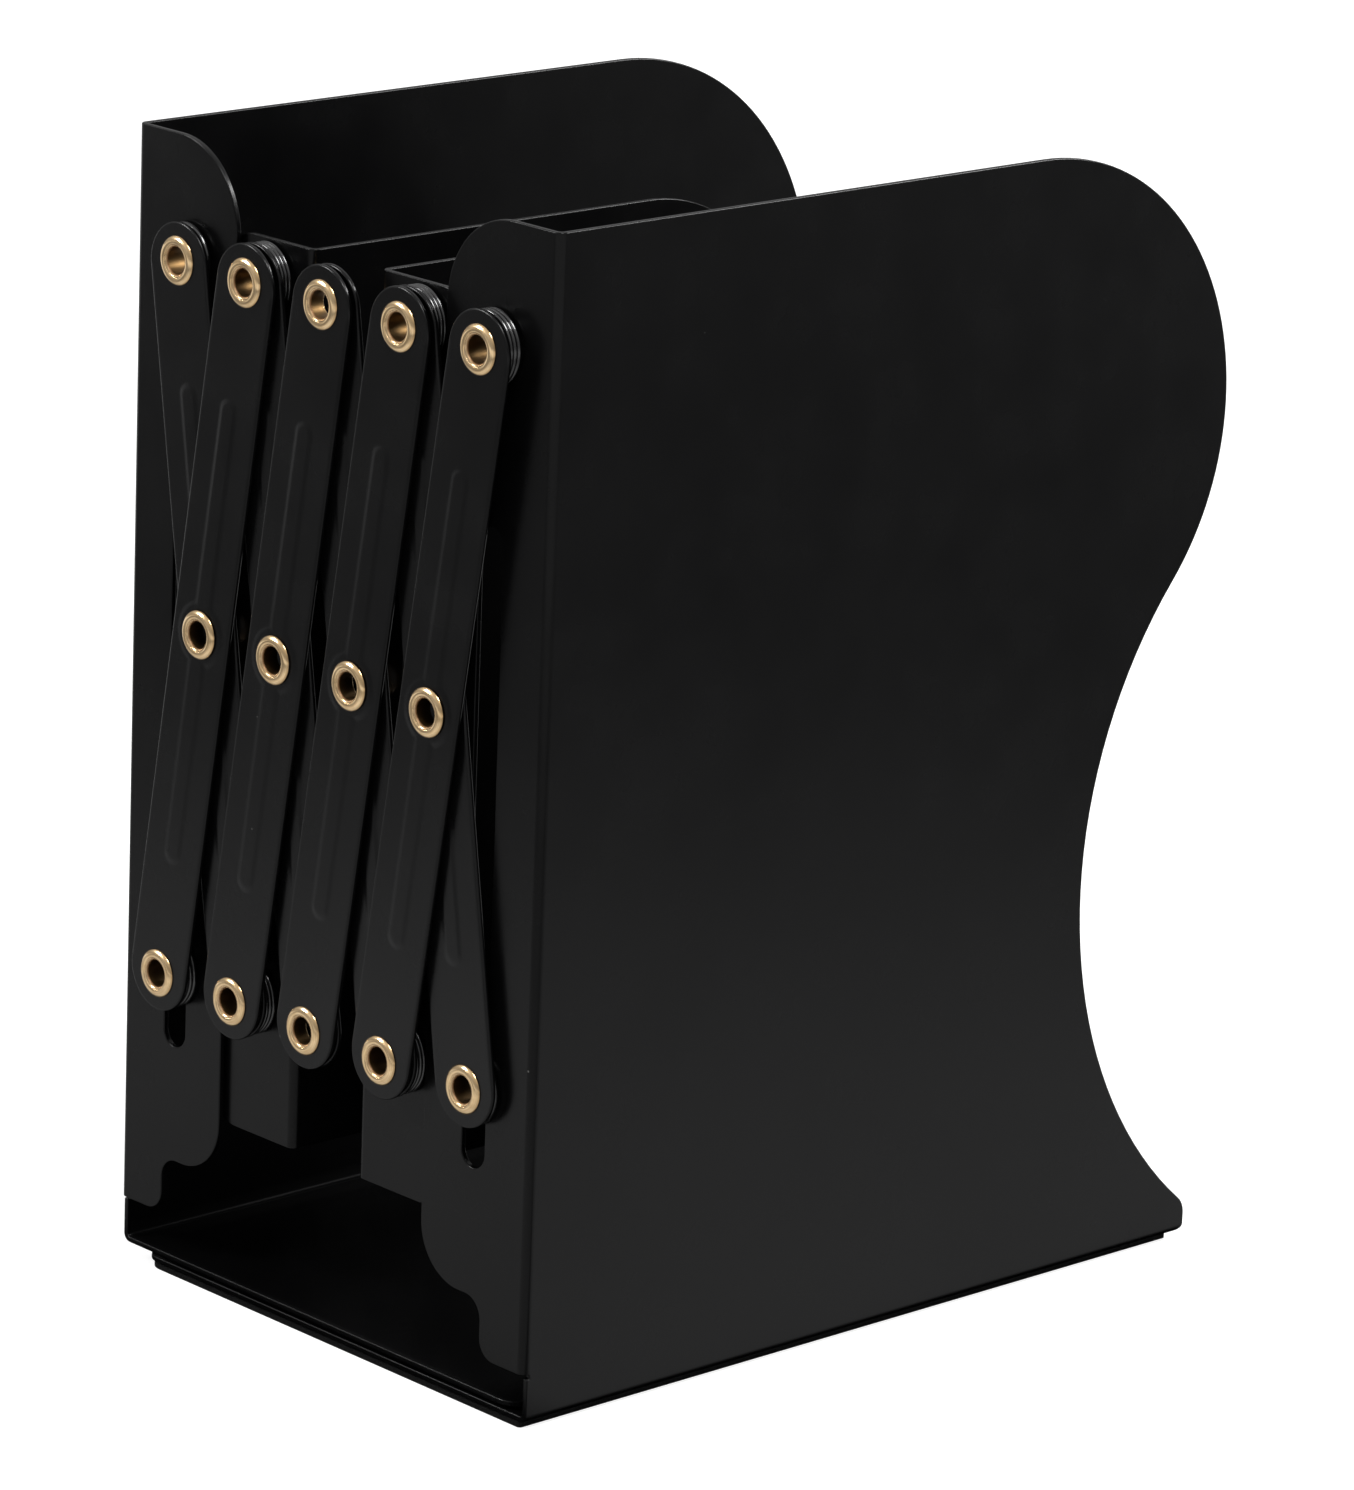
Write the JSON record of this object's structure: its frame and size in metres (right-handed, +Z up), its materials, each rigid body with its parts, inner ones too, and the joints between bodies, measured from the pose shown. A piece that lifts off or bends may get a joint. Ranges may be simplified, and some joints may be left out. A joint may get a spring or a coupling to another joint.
{
  "type": "expandable bookend",
  "caption": "Desktop bookend of folded black sheet steel: end plates with curved fronts and sliding bases, joined by scissor arms on brass eyelet rivets, with hanging dividers.",
  "frame": {"origin": "centre of the closed bookend's footprint, on the surface it stands on", "axes": "+X along the row of books towards the near, right end plate; +Y towards the open front of the panels, away from the scissor arms; +Z up"},
  "size_m": [0.1036, 0.1586, 0.1963],
  "materials": {
    "black_powder_coat": "satin black powder coat",
    "brass": "polished brass-plated eyelet",
    "rubber": "matt black non-slip foam rubber"
  },
  "bodies": {
    "left_end": {"left_end_plate": "black_powder_coat", "left_foot_strip": "rubber"},
    "back_link_1": {"back_arm_1": "black_powder_coat", "top_rivet_1": "brass", "top_spacer_1": "black_powder_coat"},
    "front_link_1": {"front_arm_1": "black_powder_coat", "top_rivet_2": "brass", "middle_rivet_1": "brass", "bottom_rivet_1": "brass", "top_spacer_2": "black_powder_coat", "bottom_spacer_1": "black_powder_coat"},
    "back_link_2": {"back_arm_2": "black_powder_coat"},
    "front_link_2": {"front_arm_2": "black_powder_coat", "top_rivet_3": "brass", "middle_rivet_2": "brass", "bottom_rivet_2": "brass", "bottom_spacer_2": "black_powder_coat"},
    "back_link_3": {"back_arm_3": "black_powder_coat"},
    "front_link_3": {"front_arm_3": "black_powder_coat", "top_rivet_4": "brass", "middle_rivet_3": "brass", "bottom_rivet_3": "brass", "top_spacer_4": "black_powder_coat"},
    "back_link_4": {"back_arm_4": "black_powder_coat", "bottom_rivet_5": "brass", "bottom_spacer_5": "black_powder_coat"},
    "front_link_4": {"front_arm_4": "black_powder_coat", "top_rivet_5": "brass", "middle_rivet_4": "brass", "bottom_rivet_4": "brass", "top_spacer_5": "black_powder_coat", "bottom_spacer_4": "black_powder_coat"},
    "right_end": {"right_end_plate": "black_powder_coat", "right_base_pad": "rubber"},
    "left_divider_hanger": {"left_divider": "black_powder_coat"},
    "right_divider_hanger": {"right_divider": "black_powder_coat"}
  },
  "joints": [
    {"name": "scissor_spread", "type": "hinge", "parent": "left_end", "child": "back_link_1", "pos_m": [-0.038, -0.07445, 0.17605], "axis": [0, -1, 0], "range_deg": [0, 66]},
    {"name": "front_link_1_middle", "type": "hinge", "parent": "back_link_1", "child": "front_link_1", "pos_m": [-0.0285, -0.07445, 0.11554], "axis": [0, -1, 0], "range_deg": [-134, 2]},
    {"name": "front_link_2_bottom", "type": "hinge", "parent": "back_link_1", "child": "front_link_2", "pos_m": [-0.019, -0.07445, 0.05503], "axis": [0, -1, 0], "range_deg": [-134, 2]},
    {"name": "back_link_2_middle", "type": "hinge", "parent": "front_link_2", "child": "back_link_2", "pos_m": [-0.0095, -0.07445, 0.11554], "axis": [0, -1, 0], "range_deg": [-2, 134]},
    {"name": "back_link_3_top", "type": "hinge", "parent": "front_link_2", "child": "back_link_3", "pos_m": [0, -0.07445, 0.17605], "axis": [0, -1, 0], "range_deg": [-2, 134]},
    {"name": "front_link_3_middle", "type": "hinge", "parent": "back_link_3", "child": "front_link_3", "pos_m": [0.0095, -0.07445, 0.11554], "axis": [0, -1, 0], "range_deg": [-134, 2]},
    {"name": "front_link_4_bottom", "type": "hinge", "parent": "back_link_3", "child": "front_link_4", "pos_m": [0.019, -0.07445, 0.05503], "axis": [0, -1, 0], "range_deg": [-134, 2]},
    {"name": "back_link_4_middle", "type": "hinge", "parent": "front_link_4", "child": "back_link_4", "pos_m": [0.0285, -0.07445, 0.11554], "axis": [0, -1, 0], "range_deg": [-2, 134]},
    {"name": "right_end_hang", "type": "hinge", "parent": "front_link_4", "child": "right_end", "pos_m": [0.038, -0.07445, 0.17605], "axis": [0, -1, 0], "range_deg": [-1, 67]},
    {"name": "left_divider_hang", "type": "hinge", "parent": "front_link_1", "child": "left_divider_hanger", "pos_m": [-0.019, -0.07315, 0.17605], "axis": [0, -1, 0], "range_deg": [-1, 67]},
    {"name": "right_divider_hang", "type": "hinge", "parent": "front_link_3", "child": "right_divider_hanger", "pos_m": [0.019, -0.07315, 0.17605], "axis": [0, -1, 0], "range_deg": [-1, 67]}
  ],
  "couplings": [
    {"joint": "front_link_1_middle", "follows": "scissor_spread", "ratio": -2},
    {"joint": "front_link_2_bottom", "follows": "scissor_spread", "ratio": -2},
    {"joint": "back_link_2_middle", "follows": "scissor_spread", "ratio": 2},
    {"joint": "back_link_3_top", "follows": "scissor_spread", "ratio": 2},
    {"joint": "front_link_3_middle", "follows": "scissor_spread", "ratio": -2},
    {"joint": "front_link_4_bottom", "follows": "scissor_spread", "ratio": -2},
    {"joint": "back_link_4_middle", "follows": "scissor_spread", "ratio": 2},
    {"joint": "right_end_hang", "follows": "scissor_spread", "ratio": 1},
    {"joint": "left_divider_hang", "follows": "scissor_spread", "ratio": 1},
    {"joint": "right_divider_hang", "follows": "scissor_spread", "ratio": 1}
  ]
}
